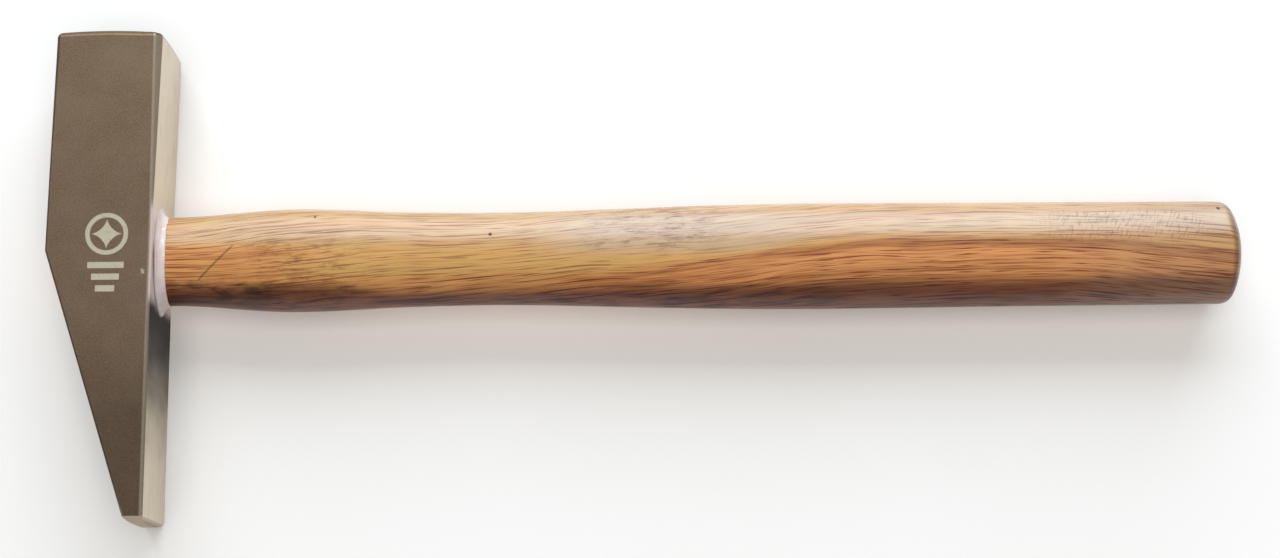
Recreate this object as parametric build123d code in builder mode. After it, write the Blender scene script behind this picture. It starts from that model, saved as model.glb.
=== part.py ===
from build123d import *
import math
import os

# Joiner's cross-pein hammer: a cast bronze head on an oval hardwood handle. Millimetres.
#
# The hammer lies on one cheek. +X runs along the handle towards its free end, +Y towards
# the striking face and +Z up through the two cheeks. The origin is on the lower cheek,
# below the middle of the eye, so the handle's axis is at Y = 0, Z = head_width / 2.

# --- Head ---------------------------------------------------------------------------
head_width = 26.0        # across the two cheeks, along Z
head_depth = 26.0        # along the handle at the eye, along X
poll_length = 57.0       # handle axis to the middle of the striking face
face_radius = 160.0      # dome of the striking face
face_round = 1.4         # round-over at the rim of the striking face
poll_lean = 0.8          # how far the poll leans towards the handle at the striking face
lean_start = 12.0        # distance from the handle axis where the lean begins
ridge_offset = 0.4       # the crown ridge lies this far to the poll side of the axis
ridge_round = 1.2
pein_length = 66.0       # handle axis to the tip of the pein
pein_tip = 4.5           # thickness of the pein where its two faces meet the nose
pein_round = 2.0         # each corner of the nose
nose_crown = 60.0        # radius of the nose's slight arch from cheek to cheek
nose_corner = 3.5        # round-over where the nose meets the cheeks
edge_break = 0.5         # small bevel along every long edge of the cheeks
poll_bevel_handle = 1.7  # poll bevels at the striking face, on the handle side
poll_bevel_crown = 0.9   # and on the crown side

# --- Handle: half its height, one value every section_pitch, the second one at the head ----
section_pitch = 17.0
half_heights = [
    11.0, 11.15, 12.0, 13.05, 12.45, 11.85, 11.7, 12.05, 12.6,
    13.05, 13.35, 13.4, 13.3, 13.2, 13.15, 13.1, 13.05, 13.0,
]
oval_ratio = 0.76        # thickness of the oval (along Z) over its height (along Y)
end_dome_radius = 34.0
end_round = 3.4
handle_reach = 269.4     # handle side of the head to the middle of the domed end
end_flush = 0.15         # how far the tenon and the wedges stay below the crown

# --- Eye, as semi-axes (along Y, along Z) -----------------------------------------------
eye_mouth = (half_heights[1], half_heights[1] * oval_ratio)
eye_waist = (10.8, 8.1)  # narrowest section
eye_crown = (11.9, 9.2)  # on the crown side, where the wedges spread the wood
waist_place = 0.35       # share of the head's depth from the handle side to the waist

# --- Wedges ----------------------------------------------------------------------------
kerf = 1.2               # saw cut for the wooden wedge
kerf_depth = 23.0
wood_wedge_depth = 19.5
wood_wedge_top = 3.6
metal_wedge_depth = 13.0
metal_wedge_width = 12.5
metal_wedge_top = 2.6
metal_wedge_edge = 0.7
metal_wedge_turn = 68.0  # degrees between the two wedges, seen along the handle

# --- Resin bead where the handle enters the head ------------------------------------------
bead_spread = 2.7        # out over the head, from the handle's surface
bead_length = 2.8        # along the handle
bead_lip = 0.35          # thickness left at its thin edge
bead_drop = 0.35         # the resin ran this far towards the pein

axis_height = head_width / 2
half_depth = head_depth / 2
crown_slope = (head_depth - pein_tip) / (pein_length + ridge_offset)
far = 60.0               # reach of the cutting solids


def crown_line(inset):
    """Corners of the crown side, moved into the head by inset."""
    left = -half_depth + inset
    return [
        (left + poll_lean, poll_length + 1),
        (left, ridge_offset),
        (left + crown_slope * (pein_length + ridge_offset), -pein_length),
    ]


def oval(x, half_height, half_thickness, drop=0.0):
    """Elliptical section across the handle at the given X."""
    section_plane = Plane(origin=(x, -drop, axis_height), x_dir=(0, 1, 0), z_dir=(1, 0, 0))
    with BuildSketch(section_plane) as section:
        Ellipse(half_height, half_thickness)
    return section.sketch


def poll_bevel_plane(handle_side, upper, bevel):
    """Plane of one tapered bevel: edge_break wide at the eye, bevel wide at the face."""
    side = 1 if handle_side else -1
    x_eye = side * half_depth
    x_face = x_eye + poll_lean
    z_edge = head_width if upper else 0.0
    inward = -1 if upper else 1
    at_cheek = Vector(x_eye - side * edge_break, lean_start, z_edge)
    at_side = Vector(x_eye, lean_start, z_edge + inward * edge_break)
    at_face = Vector(x_face - side * bevel, poll_length, z_edge)
    normal = (at_side - at_cheek).cross(at_face - at_cheek)
    outward = Vector(side, 0, -inward)
    if normal.dot(outward) < 0:
        normal = -normal
    return Plane(origin=at_cheek, z_dir=normal)


# Eye: one hourglass volume, cut from the head and filled by the tenon and the wedges.
waist_x = half_depth - waist_place * head_depth
crown_x = -half_depth
with BuildPart() as eye:
    with BuildSketch(Plane.YZ.offset(half_depth)):
        with Locations((0, axis_height)):
            Ellipse(*eye_mouth)
    with BuildSketch(Plane.YZ.offset(waist_x)):
        with Locations((0, axis_height)):
            Ellipse(*eye_waist)
    with BuildSketch(Plane.YZ.offset(crown_x)):
        with Locations((0, axis_height)):
            Ellipse(*eye_crown)
    loft()

# Head.
with BuildPart() as head:
    with BuildSketch(Plane.XY) as head_side:
        with BuildLine():
            crown_face, crown_ridge, crown_tip = crown_line(0)
            Polyline(
                crown_face,
                crown_ridge,
                crown_tip,
                (half_depth, -pein_length),
                (half_depth, lean_start),
                (half_depth + poll_lean, poll_length + 1),
                close=True,
            )
        make_face()
        nose_corners = head_side.vertices().group_by(Axis.Y)[0]
        fillet(nose_corners, pein_round)
        ridge_corner = head_side.vertices().sort_by(Axis.X)[0]
        fillet(ridge_corner, ridge_round)
    extrude(amount=head_width)
    cheeks = head.faces().filter_by(Axis.Z)
    chamfer(cheeks.edges(), edge_break)
    for upper in (False, True):
        split(bisect_by=poll_bevel_plane(True, upper, poll_bevel_handle), keep=Keep.BOTTOM)
        split(bisect_by=poll_bevel_plane(False, upper, poll_bevel_crown), keep=Keep.BOTTOM)
    with Locations((poll_lean, poll_length - face_radius, axis_height)):
        Sphere(face_radius, mode=Mode.INTERSECT)
    striking_face = head.faces().sort_by(Axis.Y)[-1]
    fillet(striking_face.edges(), face_round)
    with BuildSketch(Plane.YZ.offset(-far)) as head_front:
        with BuildLine():
            nose_drop = nose_crown - math.sqrt(nose_crown**2 - axis_height**2)
            Polyline(
                (-pein_length + nose_drop, 0),
                (far, 0),
                (far, head_width),
                (-pein_length + nose_drop, head_width),
            )
            ThreePointArc(
                (-pein_length + nose_drop, head_width),
                (-pein_length, axis_height),
                (-pein_length + nose_drop, 0),
            )
        make_face()
        fillet(head_front.vertices().group_by(Axis.Y)[0], nose_corner)
    extrude(amount=2 * far, mode=Mode.INTERSECT)
    add(eye.part, mode=Mode.SUBTRACT)

head.part.label = "head"

# The block on the crown side that is ground away from the tenon and the wedges.
with BuildPart() as crown_waste:
    with BuildSketch(Plane.XY):
        with BuildLine():
            poll_end, ridge_end, pein_end = crown_line(end_flush)
            Polyline(
                poll_end,
                ridge_end,
                pein_end,
                (-far, -pein_length),
                (-far, poll_length),
                close=True,
            )
        make_face()
    extrude(amount=head_width)

# The tapered volumes of the two wedges, thick at the crown.
wood_wedge_end = crown_x + wood_wedge_depth
with BuildPart() as wood_wedge_volume:
    with BuildSketch(Plane.XZ):
        with BuildLine():
            Polyline(
                (crown_x, axis_height - wood_wedge_top / 2),
                (wood_wedge_end, axis_height - kerf / 2),
                (wood_wedge_end, axis_height + kerf / 2),
                (crown_x, axis_height + wood_wedge_top / 2),
                close=True,
            )
        make_face()
    extrude(amount=head_depth, both=True)

across = Vector(0, 1, 0).rotate(Axis.X, 90 - metal_wedge_turn)
metal_wedge_plane = Plane(
    origin=(crown_x, 0, axis_height), x_dir=(1, 0, 0), z_dir=across.cross(Vector(1, 0, 0))
)
with BuildPart() as metal_wedge_volume:
    with BuildSketch(metal_wedge_plane):
        with BuildLine():
            Polyline(
                (0, -metal_wedge_top / 2),
                (metal_wedge_depth, -metal_wedge_edge / 2),
                (metal_wedge_depth, metal_wedge_edge / 2),
                (0, metal_wedge_top / 2),
                close=True,
            )
        make_face()
    extrude(amount=metal_wedge_width / 2, both=True)

# The block beyond the dome at the free end of the handle.
dome_center = half_depth + handle_reach - end_dome_radius
with BuildPart() as end_waste:
    with Locations((dome_center + end_dome_radius, 0, axis_height)):
        Box(end_dome_radius, far, far)
    with Locations((dome_center, 0, axis_height)):
        Sphere(end_dome_radius, rotation=(0, 90, 0), mode=Mode.SUBTRACT)

# Handle: the oval grip, domed at its free end, with the sawn tenon that fills the eye.
with BuildPart() as handle:
    for step, half_height in enumerate(half_heights, start=-1):
        add(oval(half_depth + step * section_pitch, half_height, half_height * oval_ratio))
    loft()
    split(bisect_by=Plane.YZ.offset(half_depth), keep=Keep.TOP)
    add(end_waste.part, mode=Mode.SUBTRACT)
    domed_end = handle.faces().sort_by(Axis.X)[-1]
    fillet(domed_end.edges(), end_round)
    add(eye.part)
    kerf_plane = Plane.XY.offset(axis_height)
    with Locations(kerf_plane):
        with Locations((crown_x + kerf_depth / 2, 0)):
            Box(kerf_depth, head_depth, kerf, mode=Mode.SUBTRACT)
    add(wood_wedge_volume.part, mode=Mode.SUBTRACT)
    add(metal_wedge_volume.part, mode=Mode.SUBTRACT)
    add(crown_waste.part, mode=Mode.SUBTRACT)
handle.part.label = "handle"

# Wooden wedge: fills the opened saw cut from edge to edge of the eye.
with BuildPart() as wood_wedge:
    add(wood_wedge_volume.part)
    add(eye.part, mode=Mode.INTERSECT)
    add(metal_wedge_volume.part, mode=Mode.SUBTRACT)
    add(crown_waste.part, mode=Mode.SUBTRACT)
wood_wedge.part.label = "wood_wedge"

# Metal wedge: driven across the wooden one and ground flush with it.
with BuildPart() as metal_wedge:
    add(metal_wedge_volume.part)
    add(crown_waste.part, mode=Mode.SUBTRACT)
metal_wedge.part.label = "metal_wedge"

# Resin bead: a sloping collar that seals the handle to the head.
bead_rise = (half_heights[2] - half_heights[1]) * bead_length / section_pitch
with BuildPart() as resin_bead:
    add(
        oval(
            half_depth,
            eye_mouth[0] + bead_spread,
            eye_mouth[1] + bead_spread,
            bead_drop,
        )
    )
    add(
        oval(
            half_depth + bead_length,
            eye_mouth[0] + bead_rise + bead_lip + bead_drop / 2,
            eye_mouth[1] + bead_rise + bead_lip,
            bead_drop / 2,
        )
    )
    loft()
    add(handle.part, mode=Mode.SUBTRACT)
    add(head.part, mode=Mode.SUBTRACT)
resin_bead.part.label = "resin_bead"

os.makedirs("parts", exist_ok=True)
export_step(head.part, "parts/head.step")
export_step(handle.part, "parts/handle.step")
export_step(wood_wedge.part, "parts/wood_wedge.step")
export_step(metal_wedge.part, "parts/metal_wedge.step")
export_step(resin_bead.part, "parts/resin_bead.step")
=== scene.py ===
"""A joiner's cross-pein hammer: bronze head, oval hardwood handle, resin bead and wedges.

The hammer lies on one cheek, as the frame has it: +X runs along the handle, +Y towards the
striking face, +Z up through the cheeks. Lengths are in metres unless a name ends in _mm.
"""

import math
from collections import namedtuple

import bmesh
import bpy
from mathutils import Matrix, Vector


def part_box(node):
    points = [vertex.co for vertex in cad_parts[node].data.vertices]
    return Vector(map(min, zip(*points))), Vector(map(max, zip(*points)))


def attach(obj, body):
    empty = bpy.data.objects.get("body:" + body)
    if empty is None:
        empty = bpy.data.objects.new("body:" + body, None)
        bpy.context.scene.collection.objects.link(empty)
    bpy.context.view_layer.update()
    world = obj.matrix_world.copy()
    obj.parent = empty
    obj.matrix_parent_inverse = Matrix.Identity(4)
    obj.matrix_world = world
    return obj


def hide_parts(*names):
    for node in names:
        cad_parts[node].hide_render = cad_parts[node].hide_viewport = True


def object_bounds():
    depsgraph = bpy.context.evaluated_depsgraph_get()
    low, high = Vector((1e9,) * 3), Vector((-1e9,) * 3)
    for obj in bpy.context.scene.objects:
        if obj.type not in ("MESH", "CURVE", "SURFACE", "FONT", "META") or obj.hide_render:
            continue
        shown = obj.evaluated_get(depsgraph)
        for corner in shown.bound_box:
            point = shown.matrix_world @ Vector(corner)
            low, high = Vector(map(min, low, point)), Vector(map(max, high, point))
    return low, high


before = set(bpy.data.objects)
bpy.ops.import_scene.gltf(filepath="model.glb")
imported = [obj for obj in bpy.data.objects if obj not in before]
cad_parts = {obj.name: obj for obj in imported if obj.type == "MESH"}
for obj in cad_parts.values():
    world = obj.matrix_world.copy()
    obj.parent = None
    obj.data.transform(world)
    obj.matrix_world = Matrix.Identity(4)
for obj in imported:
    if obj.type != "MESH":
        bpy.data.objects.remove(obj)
cad_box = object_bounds()

bl_info = {
    "name": "Cross-pein hammer",
    "version": (1, 0, 0),
    "blender": (4, 5, 0),
    "location": "3D View > Sidebar > Hammer",
    "description": "Finishes a joiner's hammer around its fixed frame",
    "category": "Object",
}

MM = 0.001
BODY = "root"

head_low, head_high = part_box("head")
bead_low, bead_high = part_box("resin_bead")
CROWN_X = head_low.x
MOUTH_X = bead_low.x
END_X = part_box("handle")[1].x
AXIS_Z = (head_low.z + head_high.z) / 2
AXIS_Z_MM = AXIS_Z * 1000
UPPER_CHEEK_MM = head_high.z * 1000
HANDLE_SIDE_MM = MOUTH_X * 1000
NOSE_Y_MM = head_low.y * 1000
MEAN_RADIUS_MM = 11.8  # of the oval grip, to turn an angle round it into a length


# --- Shader building -------------------------------------------------------------------


class Wire:
    """A number that runs between shader nodes. Arithmetic on it adds Math nodes."""

    def __init__(self, finish, socket):
        self.finish = finish
        self.socket = socket

    def math(self, operation, *values):
        sockets = dict(enumerate(values))
        return self.finish.node("ShaderNodeMath", {"operation": operation}, sockets).wire()

    def __add__(self, other):
        return self.math("ADD", self, other)

    def __radd__(self, other):
        return self.math("ADD", other, self)

    def __sub__(self, other):
        return self.math("SUBTRACT", self, other)

    def __rsub__(self, other):
        return self.math("SUBTRACT", other, self)

    def __mul__(self, other):
        return self.math("MULTIPLY", self, other)

    def __rmul__(self, other):
        return self.math("MULTIPLY", other, self)

    def __truediv__(self, other):
        return self.math("DIVIDE", self, other)

    def __rtruediv__(self, other):
        return self.math("DIVIDE", other, self)

    def __pow__(self, other):
        return self.math("POWER", self, other)

    def __neg__(self):
        return self.math("MULTIPLY", self, -1.0)

    def __abs__(self):
        return self.math("ABSOLUTE", self)

    def low(self, other):
        """The lower of the two."""
        return self.math("MINIMUM", self, other)

    def high(self, other):
        """The higher of the two."""
        return self.math("MAXIMUM", self, other)


class Made:
    """A node that Finish.node has made, with its outputs as wires."""

    def __init__(self, finish, node):
        self.finish = finish
        self.made = node

    def wire(self, output=0):
        return Wire(self.finish, self.made.outputs[output])


class Finish:
    """One material and the nodes in it."""

    def __init__(self, name):
        self.material = bpy.data.materials.new(name)
        self.material.use_nodes = True
        self.tree = self.material.node_tree
        self.tree.nodes.clear()
        self.place = self.node("ShaderNodeTexCoord")
        self.position = self.place.wire("Object")

    def node(self, kind, settings=None, sockets=None):
        """Make a node: its type, then its settings, then the values or links of its sockets."""
        node = self.tree.nodes.new(kind)
        for name, value in (settings or {}).items():
            setattr(node, name, value)
        for name, value in (sockets or {}).items():
            if isinstance(value, Wire):
                self.tree.links.new(value.socket, node.inputs[name])
            else:
                node.inputs[name].default_value = value
        return Made(self, node)

    def axes(self, vector):
        """The three components of a vector."""
        split = self.node("ShaderNodeSeparateXYZ", None, {0: vector})
        return split.wire(0), split.wire(1), split.wire(2)

    def vector(self, x, y, z):
        """A vector from its three components."""
        return self.node("ShaderNodeCombineXYZ", None, {0: x, 1: y, 2: z}).wire()

    def step(self, value, low, high):
        """0 below low, 1 above high, and eased between them."""
        settings = {"interpolation_type": "SMOOTHSTEP"}
        sockets = {"Value": value, "From Min": low, "From Max": high}
        return self.node("ShaderNodeMapRange", settings, sockets).wire()

    def below(self, value, low, high):
        """1 below low, 0 above high, and eased between them."""
        return 1 - self.step(value, low, high)

    def stretch(self, value, start, end):
        """1 between two places, eased over the low and high of each."""
        return self.step(value, *start) * self.below(value, *end)

    @staticmethod
    def spread(value, low, high):
        """A 0 to 1 value spread linearly from low to high."""
        return value * (high - low) + low

    def noise(self, place, scale, detail=2.0, roughness=0.5):
        """A cloudy 0 to 1 pattern."""
        sockets = {"Vector": place, "Scale": scale, "Detail": detail, "Roughness": roughness}
        return self.node("ShaderNodeTexNoise", None, sockets).wire("Fac")

    def mix(self, factor, first, second, blend="MIX"):
        """Colours mixed by a 0 to 1 factor. A plain colour is three numbers."""
        sockets = {0: factor}
        for index, colour in ((6, first), (7, second)):
            sockets[index] = colour if isinstance(colour, Wire) else (*colour, 1.0)
        settings = {"data_type": "RGBA", "blend_type": blend}
        return self.node("ShaderNodeMix", settings, sockets).wire(2)

    def bump(self, height, distance_mm, strength, under=None):
        """The normal over a height, itself laid over another normal where one is given."""
        sockets = {"Strength": strength, "Distance": distance_mm * MM, "Height": height}
        if under is not None:
            sockets["Normal"] = under
        return self.node("ShaderNodeBump", None, sockets).wire("Normal")

    def surface(self, sockets):
        """The shader itself and the material's output."""
        shader = self.node("ShaderNodeBsdfPrincipled", None, sockets)
        self.node("ShaderNodeOutputMaterial", None, {"Surface": shader.wire()})
        return self.material

    def millimetres(self):
        """The position on the piece, in millimetres, measured from the frame's origin."""
        x, y, z = self.axes(self.position)
        return x * 1000.0, y * 1000.0, z * 1000.0


def reach(aside, along):
    """How far a point lies from a middle, from its two distances."""
    return (aside * aside + along * along) ** 0.5


def tone(hex_code):
    """A colour written as six hex digits, as the linear numbers a shader takes."""
    channels = [int(hex_code[i : i + 2], 16) / 255 for i in (0, 2, 4)]
    return tuple(
        c / 12.92 if c <= 0.04045 else ((c + 0.055) / 1.055) ** 2.4 for c in channels
    )


def colour_setting(name, description, hex_code):
    """A colour for a property group."""
    return bpy.props.FloatVectorProperty(
        name=name, description=description,
        subtype="COLOR", size=3, min=0, max=1, default=tone(hex_code),
    )


# --- Measuring the frame -----------------------------------------------------------------


def cad_section(node, axis, place):
    """Lowest and highest corner of the outline where a plane across an axis cuts a CAD node."""
    normal = Vector((0, 0, 0))
    normal[axis] = 1
    cut = bmesh.new()
    cut.from_mesh(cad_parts[node].data)
    everything = cut.verts[:] + cut.edges[:] + cut.faces[:]
    found = bmesh.ops.bisect_plane(
        cut, geom=everything, plane_co=normal * place, plane_no=normal
    )
    rim = [item.co.copy() for item in found["geom_cut"] if isinstance(item, bmesh.types.BMVert)]
    cut.free()
    if not rim:
        raise RuntimeError(f"no section of {node} at {place}")
    low = Vector([min(co[i] for co in rim) for i in range(3)])
    high = Vector([max(co[i] for co in rim) for i in range(3)])
    return low, high


def oval_at(x):
    """Half height and half thickness of the handle at X."""
    low, high = cad_section("handle", 0, x)
    return (high.y - low.y) / 2, (high.z - low.z) / 2


def crown_plane(y_near, y_far, inset):
    """A point and the outward normal of the crown side between two places along Y."""
    near, _ = cad_section("head", 1, y_near)
    far, _ = cad_section("head", 1, y_far)
    along = Vector((far.x - near.x, y_far - y_near, 0)).normalized()
    normal = Vector((-abs(along.y), math.copysign(1, along.y) * along.x, 0))
    return Vector((near.x, y_near, AXIS_Z)) - normal * inset, normal


# --- Modelling by hand tools -----------------------------------------------------------------


def clear_selection():
    if bpy.context.object and bpy.context.object.mode != "OBJECT":
        bpy.ops.object.mode_set(mode="OBJECT")
    bpy.ops.object.select_all(action="DESELECT")


def start_ring(name, x, half_height, half_thickness, sides):
    """An oval ring across the handle, left in edit mode with the ring selected."""
    clear_selection()
    bpy.ops.mesh.primitive_circle_add(
        vertices=sides, radius=1, location=(x, 0, AXIS_Z), rotation=(0, math.pi / 2, 0)
    )
    piece = bpy.context.object
    piece.name = piece.data.name = name
    bpy.ops.object.transform_apply(location=True, rotation=True, scale=True)
    bpy.ops.object.mode_set(mode="EDIT")
    bpy.ops.mesh.select_all(action="SELECT")
    bpy.ops.transform.resize(
        value=(1, half_height, half_thickness), center_override=(x, 0, AXIS_Z)
    )
    return piece


def next_ring(from_ring, to_ring):
    """Extrude the selected ring from one (x, half height, half thickness) to the next."""
    x, half_height, half_thickness = to_ring
    bpy.ops.mesh.extrude_region_move(
        TRANSFORM_OT_translate={"value": (x - from_ring[0], 0, 0)}
    )
    bpy.ops.transform.resize(
        value=(1, half_height / from_ring[1], half_thickness / from_ring[2]),
        center_override=(x, 0, AXIS_Z),
    )


def add_modifier(kind, **settings):
    """Add a modifier to the active piece, set it and apply it."""
    bpy.ops.object.modifier_add(type=kind)
    modifier = bpy.context.object.modifiers[-1]
    for name, value in settings.items():
        setattr(modifier, name, value)
    bpy.ops.object.modifier_apply(modifier=modifier.name)


def subdivide_smoothly(levels):
    add_modifier("SUBSURF", levels=levels, render_levels=levels)


def roughen(name, size, strength, mid_level):
    """Push the surface in and out by a soft cloud pattern."""
    clouds = bpy.data.textures.new(name, "CLOUDS")
    clouds.noise_scale = size
    clouds.noise_depth = 1
    add_modifier("DISPLACE", texture=clouds, strength=strength, mid_level=mid_level)


def close_up(piece, slot, angle_deg, *nodes):
    """Leave edit mode and hand the finished piece to the frame."""
    bpy.ops.object.mode_set(mode="OBJECT")
    bpy.ops.object.shade_smooth_by_angle(angle=math.radians(angle_deg))
    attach(piece, BODY)
    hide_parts(*nodes)


def dress(piece, material):
    """Give a piece its one material."""
    if piece.material_slots:
        piece.material_slots[0].material = material
    else:
        piece.data.materials.append(material)


# --- Bronze ------------------------------------------------------------------------------


FLAT_ON = (0.93, 0.99)  # share of the normal where a rounded edge gives way to a flat
DASHES = 3
DASH_STEP_MM = 2.9
NICK_MIDDLE_MM = (11.1, -4.9)


def facing(finish):
    """How far the surface turns to the handle side, the striking face and the cheeks, 0 to 1."""
    x, y, z = finish.axes(finish.place.wire("Normal"))
    return abs(x), abs(y), abs(z)


def spark_mark(finish, x, y, middle, radius):
    """Mask of a plain etched sign: a four-pointed spark inside a ring."""
    across = x - middle[0]
    up = y - middle[1]
    line = radius * 0.17
    ring = finish.below(abs(reach(across, up) - radius * 0.9), line * 0.5, line * 0.75)
    hollow = 0.66  # under 1, so the sides of the spark curve inwards
    star_reach = (abs(across) ** hollow + abs(up) ** hollow) ** (1 / hollow)
    star = finish.below(star_reach, radius * 0.7, radius * 0.76)
    return ring.high(star)


def dash_mark(finish, x, y, middle, half_size):
    """Mask of one plain etched dash."""
    aside = abs(x - middle[0]) - half_size[0]
    along = abs(y - middle[1]) - half_size[1]
    return finish.below(aside.high(along), -0.06, 0.08)


def etched_sign(finish, settings, x, y):
    """Mask of the whole sign: the ringed spark and, below it, dashes that get shorter."""
    middle_x, middle_y = settings.mark_middle_mm
    radius = settings.mark_radius_mm
    sign = spark_mark(finish, x, y, (middle_x, middle_y), radius)
    for step in range(DASHES):
        drop = radius + 2.6 + step * DASH_STEP_MM
        half_size = (radius * (0.85 - 0.2 * step), 0.75)
        sign = sign.high(dash_mark(finish, x, y, (middle_x, middle_y - drop), half_size))
    return sign


def cheek_nick(finish, x, y):
    """Mask of the small ragged nick in the cheek beside the handle."""
    middle_x, middle_y = NICK_MIDDLE_MM
    ragged = finish.noise(finish.vector(x * 2.6, y * 2.6, 0.0), 1.0, detail=2) * 1.6 - 0.3
    return finish.below(reach((x - middle_x) * 1.3, y - middle_y) + ragged, 0.85, 1.3)


def skin_colour(finish, settings, y, speckle):
    """The blasted skin: fine specks, pale clouds and a duller pein."""
    clouds = finish.noise(finish.position, 90, detail=3, roughness=0.6)
    colour = finish.mix(finish.step(speckle, 0.34, 0.66), settings.blasted_dark, settings.blasted)
    colour = finish.mix(finish.step(clouds, 0.3, 0.75) * 0.4, colour, settings.blasted_light)
    toward_pein = finish.below(y, -42.0, -18.0)
    return finish.mix(toward_pein * 0.7, colour, settings.pein_tint, "MULTIPLY")


def edge_colour(finish, settings, x, y, turned, off_cheek, colour):
    """The skin with its edges: dull round the face and the crown, brighter bevels and nose."""
    to_side, to_face, _ = turned
    round_edge = off_cheek * finish.step(to_face, 0.1, 0.4) * finish.below(to_face, *FLAT_ON)
    crown_edge = off_cheek * finish.below(to_side, *FLAT_ON) * finish.below(x, 5.0, 9.0)
    dulled = (round_edge * finish.step(y, -55.0, -45.0)).high(crown_edge)
    colour = finish.mix(dulled * 0.9, colour, settings.edge_tint, "MULTIPLY")
    bevel = off_cheek * (1 - to_face * 2.0).high(0.0) * finish.step(x, 9.0, 11.0)
    colour = finish.mix(bevel * 0.35, colour, settings.ground)
    nose = finish.below(y, NOSE_Y_MM + 2.5, NOSE_Y_MM + 4.5)
    nose = finish.step(to_face.high(to_side), 0.5, 0.95) * nose
    return finish.mix(nose * 0.5, colour, settings.ground)


def ground_colour(finish, settings, x, y, z):
    """The ground handle side: fine brushing and faint stains."""
    brushing = finish.noise(finish.vector(x * 2.2, y * 0.1, z * 3.0), 1.0, detail=3)
    stains = finish.noise(finish.vector(y * 0.12, z * 0.3, x * 0.3), 1.0, detail=3)
    colour = finish.mix(finish.step(brushing, 0.3, 0.7), settings.ground_dark, settings.ground)
    return finish.mix(finish.step(stains, 0.5, 0.8) * 0.3, colour, settings.blasted_light)


def painted_edge_highlight(finish, x, y, to_face, handle_side, speckle):
    """Mask of a painted highlight: a bright line along the bevel by the handle side, broken by
    specks.
    """
    bevel_x = HANDLE_SIDE_MM - 0.55 - (y - 12.0).high(0.0) * 0.009
    line = finish.below(abs(x - bevel_x), 0.12, 0.5) * (1 - handle_side)
    line = line * finish.below(to_face, 0.3, 0.7)
    return (line * finish.spread(speckle, 0.3, 1.1)).low(1.0)


def resin_film(finish, x, y, off_cheek, blotches):
    """Mask of the thin resin smeared over the handle side, above and below the handle."""
    edge = abs(y + 0.4) + finish.spread(blotches, -2.5, 2.5)
    film = finish.step(x, HANDLE_SIDE_MM - 1.1, HANDLE_SIDE_MM - 0.1)
    return film * finish.below(edge, 9.5, 14.0) * off_cheek


def bronze_material(name, settings):
    """Fine-blasted cast bronze, ground brighter on the handle side, with a painted highlight along
    the bevel's edge and painted shade below the handle.
    """
    finish = Finish(name)
    x, y, z = finish.millimetres()
    turned = facing(finish)
    to_side, to_face, to_cheek = turned
    off_cheek = finish.below(to_cheek, *FLAT_ON)
    handle_side = finish.step(to_side, *FLAT_ON) * finish.step(x, 5.0, 12.0)
    speckle = finish.noise(finish.position, 2700, detail=3, roughness=0.8)
    grit = finish.noise(finish.position, 5200, detail=2, roughness=0.6)
    blotches = finish.noise(finish.vector(x * 0.1, y * 0.16, z * 0.08), 1.0, detail=2)

    skin = skin_colour(finish, settings, y, speckle)
    skin = edge_colour(finish, settings, x, y, turned, off_cheek, skin)
    colour = finish.mix(handle_side, skin, ground_colour(finish, settings, x, y, z))
    # Painted shade: the handle side is darkened below the handle, where the handle's shadow and its
    # dark reflection fall; it is also made less metallic and rougher there.
    fade = y + finish.spread(blotches, -6.0, 6.0)
    painted_shade = finish.below(y, -13.0, -10.0) * finish.step(fade, -54.0, -18.0) * handle_side
    colour = finish.mix(painted_shade, colour, settings.painted_shade)
    # Painted highlight: the ground colour laid in a thin line along the front edge of the bevel,
    # where light catches it.
    edge_highlight = painted_edge_highlight(finish, x, y, to_face, handle_side, speckle)
    colour = finish.mix(edge_highlight * 0.75, colour, settings.ground)
    film = resin_film(finish, x, y, off_cheek, blotches)
    colour = finish.mix(film * 0.9, colour, settings.film)

    upper = finish.step(z, UPPER_CHEEK_MM - 0.1, UPPER_CHEEK_MM - 0.05)
    nick = cheek_nick(finish, x, y) * upper
    worn = finish.step(finish.noise(finish.position, 1900, detail=2), 0.25, 0.45)
    etched = etched_sign(finish, settings, x, y) * upper * finish.spread(worn, 0.7, 1.0)
    colour = finish.mix(etched.high(nick), colour, settings.etched)

    roughness = finish.spread(grit, 0.46, 0.6) - handle_side * 0.18 + etched * 0.08
    tooth = finish.bump(grit + speckle * 0.8, 0.035, 0.5)
    return finish.surface(
        {
            "Base Color": colour,
            "Metallic": finish.spread(etched, 0.95, 0.55) - (painted_shade * 0.7).high(film * 0.7),
            "Roughness": roughness + painted_shade * 0.3,
            "Normal": finish.bump(etched * -0.4 - nick, 0.08, 0.6, under=tooth),
        }
    )


class HammerBronze(bpy.types.PropertyGroup):
    """Colours of the bronze and the sign etched into it"""

    blasted: colour_setting("Blasted", "Main colour of the blasted cheeks", "a5896b")
    blasted_dark: colour_setting("Blasted, dark", "Dark specks between the pits", "8b715b")
    blasted_light: colour_setting("Blasted, light", "Paler clouds in the cast skin", "b0967c")
    pein_tint: colour_setting("Pein tint", "Shade of the duller pein", "c8c8cc")
    edge_tint: colour_setting("Edge tint", "Shade of the blasted rounded edges", "a09a94")
    # Also laid along the bevel's edge as a painted highlight.
    ground: colour_setting("Ground", "Bright ground and rubbed metal", "d8cab2")
    ground_dark: colour_setting("Ground, dark", "Duller streaks in the ground metal", "cdbfa6")
    # Painted shade: the dark colour laid on the handle side below the handle, where its shadow falls.
    painted_shade: colour_setting("Painted_shade", "Dark tarnish below the handle", "2a2324")
    film: colour_setting("Resin film", "Thin resin smeared round the handle", "ead6d0")
    etched: colour_setting("Etched", "Pale metal inside the etched sign", "d8cdb0")
    mark_middle_mm: bpy.props.FloatVectorProperty(
        name="Sign middle (mm)", description="Middle of the etched ring on the upper cheek",
        size=2, default=(2.0, 4.4),
    )
    mark_radius_mm: bpy.props.FloatProperty(
        name="Sign radius (mm)", description="Outer radius of the etched ring",
        min=1, max=10, default=5.2,
    )


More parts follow.
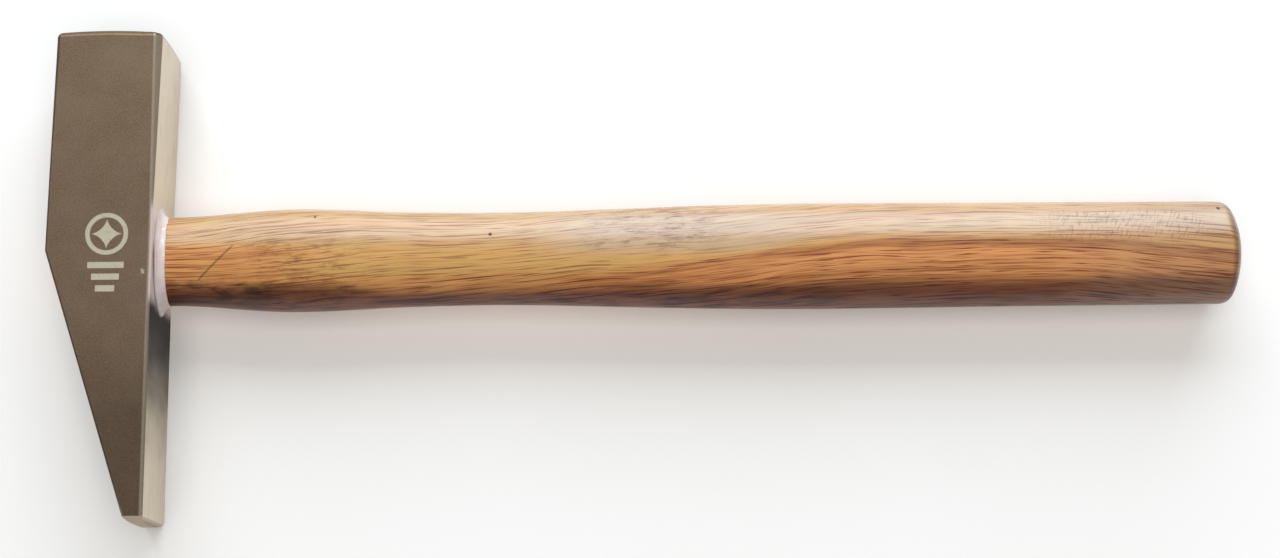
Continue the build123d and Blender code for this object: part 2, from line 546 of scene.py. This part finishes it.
class HAMMER_OT_head(bpy.types.Operator):
    """Give the cast head its bronze finish and its etched sign"""

    bl_idname = "hammer.head"
    bl_label = "Bronze head"

    def execute(self, context):
        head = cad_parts["head"]
        dress(head, bronze_material("cast_bronze", context.scene.hammer_bronze))
        return {"FINISHED"}


# --- Wood -------------------------------------------------------------------------------------


Grain = namedtuple("Grain", "along across depth girth")

# where the wear starts and ends, in mm: two places that each ease in between a low and a high
GRIPPED_X = ((30.0, 40.0), (55.0, 72.0))
THUMBED_X = ((112.0, 126.0), (146.0, 158.0))
FILED_X = ((226.0, 240.0), (268.0, 277.0))
FILED_Y = ((-1.0, 3.5), (8.5, 11.0))
SCRATCH_MM = ((23.3, -6.5), (32.3, 2.2))
SPECKS_MM = (((95.4, 4.5), 0.6), ((51.9, 9.6), 0.45), ((276.6, 9.9), 0.6))


def grain_at(finish, x, y, z):
    """Distances along the grain, across it, into it and round the handle, in mm.

    The grain climbs towards the striking face along the grip and sinks again at the end.
    """
    drift = finish.noise(finish.vector(x * 0.022, y * 0.06, z * 0.06), 1.0, detail=1)
    climb = finish.step(x, 64.0, 222.0) * 12.6 - finish.step(x, 215.0, 305.0) * 5.5
    across = y - climb + 9.3 + (22.0 - z) * 0.25 + finish.spread(drift, -1.6, 1.6)
    depth = z + finish.spread(drift, 1.2, -1.2)
    girth = y.math("ARCTAN2", y, z - AXIS_Z_MM) * MEAN_RADIUS_MM
    girth = girth + finish.spread(drift, -3.0, 3.0) - climb - x.low(75.0) * 0.08
    return Grain(x, across, depth, girth)


def streaks(finish, grain, length, width, detail=2.0, roughness=0.5):
    """Noise drawn out along the grain: 0 to 1, features of this length and width in mm."""
    across = grain.across / width
    depth = grain.depth / (width * 1.4)
    stretched = finish.vector(grain.along / length, across, depth)
    return finish.noise(stretched, 1.0, detail, roughness)


def heartwood(finish, settings, x, y, grain, wobble, ring_mask):
    """Mask and colour of the redder wood: under the climbing grain, by the head, low down."""
    heart = finish.below(grain.across + wobble, -1.8, 0.5)
    by_head = finish.below(x, 36.0, 58.0) * finish.below(y + wobble, 0.5, 3.5)
    low_strip = finish.below(y + wobble * 0.6, -7.5, -4.0)
    heart = heart.high(by_head * 0.75).high(low_strip * 0.6)
    colour = finish.mix(ring_mask * 0.55, settings.heart, settings.heart_dark)
    top_line = finish.below(abs(grain.across + wobble + 1.0), 0.4, 2.4)
    top_line = top_line * finish.spread(finish.step(x, 145.0, 178.0), 0.25, 0.85)
    return heart, finish.mix(top_line, colour, settings.heart_dark)


def wood_colour(finish, settings, x, y, grain):
    """Colour of the wood between its pores, and the masks of heartwood and dark band."""
    wobble = finish.spread(streaks(finish, grain, 60.0, 5.0, detail=3), -2.6, 2.6)
    bands = streaks(finish, grain, 90.0, 3.2, detail=3)
    colour = finish.mix(finish.step(bands, 0.35, 0.65), settings.pale, settings.golden)
    low_side = finish.below(y + wobble * 0.4, -1.0, 4.5)
    colour = finish.mix(low_side * 0.8, colour, settings.honey)
    ring_mask = finish.step(streaks(finish, grain, 110.0, 1.3, detail=3), 0.45, 0.66)
    colour = finish.mix(ring_mask * 0.35, colour, settings.heart)
    heart, heart_tone = heartwood(finish, settings, x, y, grain, wobble, ring_mask)
    colour = finish.mix(heart, colour, heart_tone)

    # The dark band is partly darker wood and partly painted shade: the underside, turned away from
    # the window light, is darkened along the pein side.
    dark_tone = finish.mix(ring_mask, settings.dark_light, settings.dark)
    dark_edge = y + wobble * 0.5 - finish.spread(finish.step(x, 25.0, 80.0), -7.3, -8.7)
    dark_edge = dark_edge - finish.step(x, 150.0, 200.0) * 1.1
    dark = finish.below(dark_edge, -1.9, 1.5)
    colour = finish.mix(dark, colour, dark_tone)
    greyed = finish.step(x, 225.0, 262.0) * 0.35
    return finish.mix(greyed, colour, settings.weathered), heart, dark


def pore_lines(finish, grain, length, width, thickness):
    """Mask of tapered lines along the grain, one to a cell of this length and width in mm."""
    along = grain.along / length
    girth = grain.girth / width
    sockets = {"Vector": finish.vector(along, girth, 0.0), "Scale": 1.0, "Randomness": 0.8}
    cell = finish.node("ShaderNodeTexVoronoi", {"voronoi_dimensions": "2D"}, sockets)
    middle_along, middle_girth, _ = finish.axes(cell.wire("Position"))
    lot, size_lot, _ = finish.axes(cell.wire("Color"))
    from_middle = abs(along - middle_along) * finish.spread(size_lot, 1.0, 2.2)
    taper = (1.0 - from_middle * 1.5).high(0.01)
    line = finish.below(abs(girth - middle_girth) / taper, thickness * 0.4, thickness)
    return line * finish.spread(lot, 0.25, 1.1).low(1.0)


def wood_pores(finish, grain):
    """Masks of the open vessels: dark lines, long and short, and the hair lines between."""
    crowd = finish.step(streaks(finish, grain, 40.0, 4.0, detail=1), 0.3, 0.6)
    long = pore_lines(finish, grain, 32.0, 1.35, 0.23) * finish.spread(crowd, 0.55, 1.0)
    short = pore_lines(finish, grain, 9.0, 1.9, 0.15)
    hairs = pore_lines(finish, grain, 12.0, 0.6, 0.34)
    return long.high(short * 0.8), hairs


def speck(finish, x, y, middle, radius):
    """Mask of a small round speck on the side that faces the upper cheek."""
    return finish.below(reach(x - middle[0], y - middle[1]), radius * 0.5, radius)


def scratch(finish, x, y, start, end, width):
    """Mask of a straight scratch between two points."""
    run_x = end[0] - start[0]
    run_y = end[1] - start[1]
    length = math.hypot(run_x, run_y)
    x_off = x - start[0]
    y_off = y - start[1]
    along = (x_off * run_x + y_off * run_y) / length
    aside = abs(x_off * run_y - y_off * run_x) / length
    beyond = (-along).high(along - length)
    return finish.below(aside, width * 0.3, width) * finish.below(beyond, -1.0, 0.5)


def palm_wear_and_sheen(finish, settings, x, y, upper, grain, colour):
    """Marks on the grip: a painted sheen along its upper side, smudges where hands have been, and
    darker streaks low down by the head.
    """
    # Painted sheen: the upper side of the grip is paled where the lacquer's sheen lies, less so
    # towards the free end.
    low_edge = finish.spread(finish.step(x, 155.0, 190.0), -1.5, 3.5)
    painted_sheen = finish.step(x, 100.0, 125.0) * finish.step(y - low_edge, -1.0, 2.5)
    painted_sheen = painted_sheen * finish.below(y, 9.0, 11.5) * upper
    painted_sheen = painted_sheen * finish.spread(finish.step(x, 150.0, 185.0), 0.45, 0.25)
    colour = finish.mix(painted_sheen, colour, settings.painted_sheen_colour)

    gripped = finish.stretch(x, *GRIPPED_X) * finish.below(y, 1.5, 6.0)
    thumbed = finish.stretch(x, *THUMBED_X) * finish.step(y, -2.0, 3.0)
    handled = gripped.high(thumbed * 1.3)
    smudged = finish.step(streaks(finish, grain, 5.0, 1.1, detail=4, roughness=0.7), 0.46, 0.68)
    colour = finish.mix(smudged * handled * 0.6, colour, settings.grime_tint, "MULTIPLY")

    # Darker streaks low down on the handle next to the head.
    by_head = finish.below(x, 34.0, 48.0) * finish.below(y, -8.0, -5.0)
    dark_streaks_by_head = finish.step(streaks(finish, grain, 7.0, 2.2, detail=4, roughness=0.65), 0.42, 0.62)
    return finish.mix(dark_streaks_by_head * by_head * 0.75, colour, settings.pore)


def dark_marks(finish, x, y, upper):
    """Mask of the scratch by the head and of three dark specks along the handle."""
    marks = scratch(finish, x, y, *SCRATCH_MM, width=0.4) * 0.6
    for middle, radius in SPECKS_MM:
        marks = marks.high(speck(finish, x, y, middle, radius))
    return marks * upper


def file_marks(finish, x, y, upper):
    """Mask of the slanting file strokes near the free end."""
    slant = finish.vector((x - y * 0.45) * 2.0, (y + x * 0.3) * 0.35, 0.0)
    strokes = finish.step(finish.noise(slant, 1.0, detail=3, roughness=0.7), 0.5, 0.66)
    filed = finish.stretch(x, *FILED_X) * finish.stretch(y, *FILED_Y)
    return strokes * filed * upper


def end_grain(finish, settings, y, z, to_end, colour):
    """Darken the domed end, where the wood is cut across, and its handled rim."""
    across = finish.noise(finish.vector(0.0, y * 1.6, z * 1.6), 1.0, detail=4, roughness=0.7)
    cut = finish.step(to_end, 0.35, 0.85)
    colour = finish.mix(cut * finish.spread(across, 0.3, 1.0), colour, settings.end_grain)
    rim = finish.stretch(to_end, (0.12, 0.42), (0.55, 0.85))
    return finish.mix(rim * finish.spread(across, 0.1, 0.9), colour, settings.grime)


def wood_material(name, settings, lacquer):
    """Hardwood with its bands, pores and wear, under a share of lacquer from 0 to 1."""
    finish = Finish(name)
    x, y, z = finish.millimetres()
    to_end = finish.axes(finish.place.wire("Normal"))[0]
    upper = finish.step(z, AXIS_Z_MM, AXIS_Z_MM + 2.0)
    grain = grain_at(finish, x, y, z)
    colour, heart, dark = wood_colour(finish, settings, x, y, grain)
    pores, hairs = wood_pores(finish, grain)
    along_grain = finish.below(abs(to_end), 0.5, 0.85)
    pores = pores * along_grain
    hairs = hairs * along_grain
    strength = finish.spread(heart, 0.7, 1.0)
    colour = finish.mix(hairs * strength * 0.75, colour, settings.hair_tint, "MULTIPLY")
    colour = finish.mix(pores * strength, colour, settings.pore_tint, "MULTIPLY")

    colour = palm_wear_and_sheen(finish, settings, x, y, upper, grain, colour)
    marks = dark_marks(finish, x, y, upper)
    colour = finish.mix(marks * 0.85, colour, settings.pore)
    filed = file_marks(finish, x, y, upper)
    colour = finish.mix(filed * 0.6, colour, settings.file_tint, "MULTIPLY")
    colour = end_grain(finish, settings, y, z, to_end, colour)

    height = hairs * -0.2 - pores - marks - filed * 0.5
    whole_coat = finish.spread(finish.step(x, 24.0, 62.0), 0.7, 1.0) * (1 - dark * 0.75)
    smoothest, roughest = (0.36, 0.55) if lacquer > 0.5 else (0.6, 0.75)
    return finish.surface(
        {
            "Base Color": colour,
            "Roughness": finish.spread(hairs.high(pores), smoothest, roughest),
            "Normal": finish.bump(height, 0.07, 0.6),
            "IOR": 1.45,
            "Specular Tint": (0.75, 0.86, 1.0, 1.0),
            "Coat Weight": (1 - (pores * 0.6).high(marks)) * whole_coat * lacquer,
            "Coat Roughness": 0.26,
            "Coat IOR": 1.6,
        }
    )


class HammerWood(bpy.types.PropertyGroup):
    """Colours of the hardwood"""

    pale: colour_setting("Pale", "Palest bands of the wood", "d2ab74")
    golden: colour_setting("Golden", "Main colour of the wood", "c4985c")
    honey: colour_setting("Honey", "Warmer wood in the middle of the grip", "e0ac60")
    heart: colour_setting("Heartwood", "Redder wood towards the free end", "e49c5a")
    heart_dark: colour_setting("Heartwood, dark", "Dark rings in the redder wood", "a8652e")
    # Partly darker wood and partly painted shade on the underside, away from the light.
    dark: colour_setting("Dark band", "Dark band along the pein side", "542f20")
    dark_light: colour_setting("Dark band, light", "Lighter rings in the dark band", "7d4b30")
    weathered: colour_setting("Weathered", "Greyed wood near the free end", "b08e70")
    grime: colour_setting("Grime", "Darkened rim of the free end", "5f3c2b")
    # Painted sheen: the pale colour laid on the upper grip where the lacquer's sheen lies.
    painted_sheen_colour: colour_setting("Painted_sheen", "Wood paled by the hand on the grip", "c4b09c")
    end_grain: colour_setting("End grain", "Wood cut across at the free end", "84523a")
    pore: colour_setting("Specks", "Dark specks and the long scratch", "3a1f14")
    pore_tint: colour_setting("Pore tint", "Shade inside the long pores", "8f4a36")
    hair_tint: colour_setting("Hair line tint", "Shade inside the hair lines", "c08664")
    grime_tint: colour_setting("Smudge tint", "Shade of the smudges", "a87e58")
    file_tint: colour_setting("File mark tint", "Shade inside the file marks", "b08c70")


def handle_rings(settings):
    """Place and half sizes of each ring, from inside the eye to the middle of the free end."""
    tenon_oval = oval_at(CROWN_X + 5 * MM)
    past_crown = (CROWN_X - 3 * MM, *(half * 1.02 for half in tenon_oval))
    places = [CROWN_X + 7 * MM, CROWN_X + 12 * MM, MOUTH_X - 7 * MM, MOUTH_X - 1 * MM]
    grip = END_X - settings.end_zone - MOUTH_X
    count = settings.grip_rings
    places += [MOUTH_X + grip * i / count for i in range(count + 1)]
    for i in range(1, settings.end_rings):
        turn = math.pi / 2 * i / settings.end_rings
        places.append(END_X - settings.end_zone * (1 - math.sin(turn)) ** 1.6)
    places.append(END_X - 0.02 * MM)
    return [past_crown] + [(x, *oval_at(x)) for x in places]


class HAMMER_OT_handle(bpy.types.Operator):
    """Model the oval handle with its tenon and its domed end, and lacquer it"""

    bl_idname = "hammer.handle"
    bl_label = "Oval handle"

    def execute(self, context):
        settings = context.scene.hammer_sizes
        rings = handle_rings(settings)
        piece = start_ring("handle_lacquered", *rings[0], settings.ring_sides)
        for from_ring, to_ring in zip(rings, rings[1:]):
            next_ring(from_ring, to_ring)
        bpy.ops.mesh.extrude_region_move()
        bpy.ops.mesh.merge(type="CENTER")
        bpy.ops.mesh.select_all(action="SELECT")
        bpy.ops.mesh.normals_make_consistent(inside=False)
        bpy.ops.object.mode_set(mode="OBJECT")
        subdivide_smoothly(1)
        # cut the tenon off just below the two slopes of the crown
        bpy.ops.object.mode_set(mode="EDIT")
        for y_near, y_far in ((20 * MM, 40 * MM), (-15 * MM, -45 * MM)):
            point, normal = crown_plane(y_near, y_far, settings.crown_inset)
            bpy.ops.mesh.select_all(action="SELECT")
            bpy.ops.mesh.bisect(
                plane_co=point, plane_no=normal, use_fill=True, clear_outer=True
            )
        close_up(piece, "lacquered_hardwood", 35, "handle")
        lacquered = wood_material("lacquered_hardwood", context.scene.hammer_wood, lacquer=0.75)
        dress(piece, lacquered)
        return {"FINISHED"}


class HAMMER_OT_wedges(bpy.types.Operator):
    """Finish the wooden wedge and the bronze wedge in the eye"""

    bl_idname = "hammer.wedges"
    bl_label = "Wedges"

    def execute(self, context):
        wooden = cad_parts["wood_wedge"]
        dress(wooden, wood_material("raw_hardwood", context.scene.hammer_wood, lacquer=0.1))
        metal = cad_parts["metal_wedge"]
        dress(metal, bronze_material("wedge_bronze", context.scene.hammer_bronze))
        return {"FINISHED"}


# --- Resin ---------------------------------------------------------------------------------------


def resin_material(settings):
    """Cured bonding resin: milky, with painted white glints where it meets the wood, and thinning
    away over the bronze.
    """
    finish = Finish("clear_resin")
    x, y, z = finish.millimetres()
    clouds = finish.noise(finish.position, 260, detail=3)
    colour = finish.mix(finish.step(clouds, 0.3, 0.7), settings.resin, settings.resin_milky)
    sockets = {"Vector": finish.position, "Scale": 900}
    dimples = finish.node("ShaderNodeTexVoronoi", None, sockets).wire("Distance")
    bubbles = finish.below(dimples, 0.05, 0.14)
    colour = finish.mix(bubbles * 0.5, colour, settings.resin_bubble)

    # 1 at the wood's surface and more further out over the bronze
    half_height, half_thickness = (size * 1000 for size in oval_at(MOUTH_X + 1 * MM))
    outward = reach(y / half_height, (z - AXIS_Z_MM) / half_thickness)
    outward = outward + finish.spread(clouds, -0.05, 0.05)
    # Painted highlight: white glints laid where the resin meets the wood.
    painted_glints = finish.step(finish.noise(finish.position, 1100, detail=2), 0.56, 0.64)
    painted_glints = painted_glints * finish.below(outward, 1.0, 1.07)
    colour = finish.mix(painted_glints, colour, settings.painted_glint)
    soft_waves = finish.noise(finish.position, 420, detail=1)
    return finish.surface(
        {
            "Base Color": colour,
            "Roughness": finish.spread(clouds, 0.14, 0.3),
            "Normal": finish.bump(soft_waves - bubbles * 0.4, 0.12, 0.6),
            "Alpha": finish.below(outward, 1.2, 1.3) * 0.95,
            "IOR": 1.5,
        }
    )


class HammerResin(bpy.types.PropertyGroup):
    """Colours of the bonding resin"""

    resin: colour_setting("Resin", "Main colour of the cured resin", "e2cfc8")
    resin_milky: colour_setting("Milky", "Milky parts of the resin", "f0e4e2")
    # Painted highlight: the white of the glints along the resin's edge by the wood.
    painted_glint: colour_setting("Painted_glint", "Bright flecks where the resin meets the wood", "ffffff")
    resin_bubble: colour_setting("Bubble", "Specks where bubbles broke the surface", "7d6657")


# share of the reach along the handle, share of the spread out from it
BEAD_PROFILE = (
    (-0.15, -0.2), (-0.15, 0.9), (0.01, 1.0), (0.05, 0.8), (0.12, 0.58), (0.22, 0.42),
    (0.36, 0.28), (0.52, 0.19), (0.68, 0.13), (0.8, 0.08), (0.86, 0.0), (0.83, -0.2),
)


def bead_rings(settings):
    """Place and half sizes of each ring round the bead, out along the handle and back inside."""
    rings = []
    for along, out in BEAD_PROFILE:
        x = MOUTH_X + along * settings.bead_reach
        half_height, half_thickness = oval_at(max(x, MOUTH_X + 0.05 * MM))
        proud = out * settings.bead_spread
        rings.append((x, half_height + proud, half_thickness + proud))
    return rings


class HAMMER_OT_resin_bead(bpy.types.Operator):
    """Model the uneven bead of resin where the handle enters the head"""

    bl_idname = "hammer.resin_bead"
    bl_label = "Resin bead"

    def execute(self, context):
        settings = context.scene.hammer_sizes
        rings = bead_rings(settings)
        piece = start_ring("resin_bead_poured", *rings[0], settings.ring_sides)
        for from_ring, to_ring in zip(rings, rings[1:]):
            next_ring(from_ring, to_ring)
        bpy.ops.mesh.select_all(action="DESELECT")
        bpy.ops.mesh.select_non_manifold()
        bpy.ops.mesh.bridge_edge_loops()
        bpy.ops.mesh.select_all(action="SELECT")
        bpy.ops.mesh.normals_make_consistent(inside=False)
        bpy.ops.transform.translate(value=(0, -settings.bead_drop, 0))
        bpy.ops.object.mode_set(mode="OBJECT")
        subdivide_smoothly(2)
        roughen("bead_unevenness", 5 * MM, settings.bead_unevenness, 0.5)
        close_up(piece, "clear_resin", 60, "resin_bead")
        dress(piece, resin_material(context.scene.hammer_resin))
        return {"FINISHED"}


class HammerSizes(bpy.types.PropertyGroup):
    """Sizes of the pieces that are modelled around the frame"""

    ring_sides: bpy.props.IntProperty(
        name="Ring sides", description="Sides of every oval ring", default=64, min=16, max=128
    )
    grip_rings: bpy.props.IntProperty(
        name="Grip rings", description="Rings along the grip", default=44, min=10, max=200
    )
    end_rings: bpy.props.IntProperty(
        name="End rings", description="Rings over the domed end", default=12, min=4, max=40
    )
    end_zone: bpy.props.FloatProperty(
        name="End zone", description="Length of the rounded end",
        default=7 * MM, unit="LENGTH",
    )
    crown_inset: bpy.props.FloatProperty(
        name="Crown inset", description="How far the tenon ends below the crown",
        default=0.2 * MM, unit="LENGTH",
    )
    bead_reach: bpy.props.FloatProperty(
        name="Bead reach", description="How far the resin runs along the handle",
        default=bead_high.x - bead_low.x, unit="LENGTH",
    )
    bead_spread: bpy.props.FloatProperty(
        name="Bead spread", description="How far the resin spreads over the head",
        default=2.7 * MM, unit="LENGTH",
    )
    bead_drop: bpy.props.FloatProperty(
        name="Bead drop", description="How far the resin sagged towards the pein",
        default=0.3 * MM, unit="LENGTH",
    )
    bead_unevenness: bpy.props.FloatProperty(
        name="Bead unevenness", description="Height of the soft waves in the resin",
        default=0.35 * MM, unit="LENGTH",
    )


# --- Stage --------------------------------------------------------------------------------------


def floor_material():
    """Matt near-white paper that glows a little, so it stays pale far from the light."""
    finish = Finish("pale_floor")
    tint = finish.noise(finish.position, 14, detail=2)
    colour = finish.mix(tint, tone("fbf8f4"), tone("fffdfa"))
    glow = {"Emission Color": (1.0, 0.99, 0.97, 1.0), "Emission Strength": 0.06}
    return finish.surface({"Base Color": colour, "Roughness": 0.7, **glow})


CAMERA_TURN_DEG = (11.49, 0.58, -0.63)  # pitch towards the face, yaw and roll
WINDOW_PLACE = (0.2, 1.97, 1.11)
CEILING_PLACE = (0.13, -0.35, 2.0)


def add_softbox(name, place, size, power, colour, target):
    """A rectangular soft light at a place, facing a target."""
    clear_selection()
    bpy.ops.object.light_add(type="AREA", location=place)
    light = bpy.context.object
    light.name = name
    light.data.shape = "RECTANGLE"
    light.data.size, light.data.size_y = size
    light.data.energy = power
    light.data.color = colour
    facing_target = (Vector(target) - Vector(place)).to_track_quat("-Z", "Y")
    light.rotation_euler = facing_target.to_euler()
    return light


class HammerStage(bpy.types.PropertyGroup):
    """Light levels and the camera"""

    sky: bpy.props.FloatProperty(
        name="Sky", description="Brightness of the surroundings", default=0.2, min=0
    )
    key: bpy.props.FloatProperty(
        name="Window light", description="Power of the wide soft light beyond the hammer",
        default=66.0, min=0,
    )
    fill: bpy.props.FloatProperty(
        name="Ceiling light", description="Power of the dim soft light overhead",
        default=20.0, min=0,
    )
    lens_mm: bpy.props.FloatProperty(
        name="Lens", description="Focal length of the camera in millimetres",
        default=61.4, min=10,
    )
    camera_place: bpy.props.FloatVectorProperty(
        name="Camera place", description="Where the camera stands",
        size=3, subtype="XYZ", unit="LENGTH", default=(0.1270, -0.1142, 0.5479),
    )


class HAMMER_OT_stage(bpy.types.Operator):
    """Lay the pale floor and set the lights and the camera"""

    bl_idname = "hammer.stage"
    bl_label = "Stage"

    def execute(self, context):
        settings = context.scene.hammer_stage
        clear_selection()
        bpy.ops.mesh.primitive_plane_add(size=6, location=(0, 0, -0.1 * MM))
        floor = context.object
        floor.name = "floor"
        bpy.ops.object.transform_apply(location=True, rotation=True, scale=True)
        dress(floor, floor_material())

        middle = (cad_box[0] + cad_box[1]) / 2
        cool, warm = (0.8, 0.9, 1.0), (1.0, 0.96, 0.9)
        add_softbox("window_light", WINDOW_PLACE, (2.6, 2.1), settings.key, cool, middle)
        fill = add_softbox("ceiling_light", CEILING_PLACE, (1.6, 1.6), settings.fill, warm, middle)
        fill.visible_glossy = False

        world = bpy.data.worlds.new("soft_room")
        world.use_nodes = True
        background = world.node_tree.nodes["Background"]
        background.inputs["Color"].default_value = (0.94, 0.96, 1.0, 1.0)
        background.inputs["Strength"].default_value = settings.sky
        context.scene.world = world
        context.scene.view_settings.view_transform = "Standard"

        bpy.ops.object.camera_add(location=settings.camera_place)
        camera = context.object
        camera.name = "camera"
        camera.data.lens = settings.lens_mm
        camera.data.sensor_width = 36
        pitch, yaw, roll = (math.radians(angle) for angle in CAMERA_TURN_DEG)
        turn = (
            Matrix.Rotation(-yaw, 3, "Y")
            @ Matrix.Rotation(pitch, 3, "X")
            @ Matrix.Rotation(roll, 3, "Z")
        )
        camera.rotation_euler = turn.to_euler()
        context.scene.camera = camera
        return {"FINISHED"}


# --- Panel and main ---------------------------------------------------------------------------------


class HAMMER_PT_panel(bpy.types.Panel):
    """Lists the hammer's pieces and the settings behind them"""

    bl_idname = "HAMMER_PT_panel"
    bl_label = "Cross-pein hammer"
    bl_space_type = "VIEW_3D"
    bl_region_type = "UI"
    bl_category = "Hammer"

    def draw(self, context):
        for group in SETTINGS:
            settings = getattr(context.scene, group)
            box = self.layout.box()
            for name in settings.__annotations__:
                box.prop(settings, name)
        for operator in OPERATORS:
            self.layout.operator(operator.bl_idname)


OPERATORS = (
    HAMMER_OT_head,
    HAMMER_OT_handle,
    HAMMER_OT_wedges,
    HAMMER_OT_resin_bead,
    HAMMER_OT_stage,
)
SETTINGS = {
    "hammer_sizes": HammerSizes,
    "hammer_bronze": HammerBronze,
    "hammer_wood": HammerWood,
    "hammer_resin": HammerResin,
    "hammer_stage": HammerStage,
}
CLASSES = (*SETTINGS.values(), *OPERATORS, HAMMER_PT_panel)


def register():
    for item in CLASSES:
        bpy.utils.register_class(item)
    for name, group in SETTINGS.items():
        setattr(bpy.types.Scene, name, bpy.props.PointerProperty(type=group))


def unregister():
    for name in SETTINGS:
        delattr(bpy.types.Scene, name)
    for item in reversed(CLASSES):
        bpy.utils.unregister_class(item)


def main():
    register()
    bpy.ops.hammer.head()
    bpy.ops.hammer.handle()
    bpy.ops.hammer.wedges()
    bpy.ops.hammer.resin_bead()
    bpy.ops.hammer.stage()


if __name__ == "__main__":
    main()
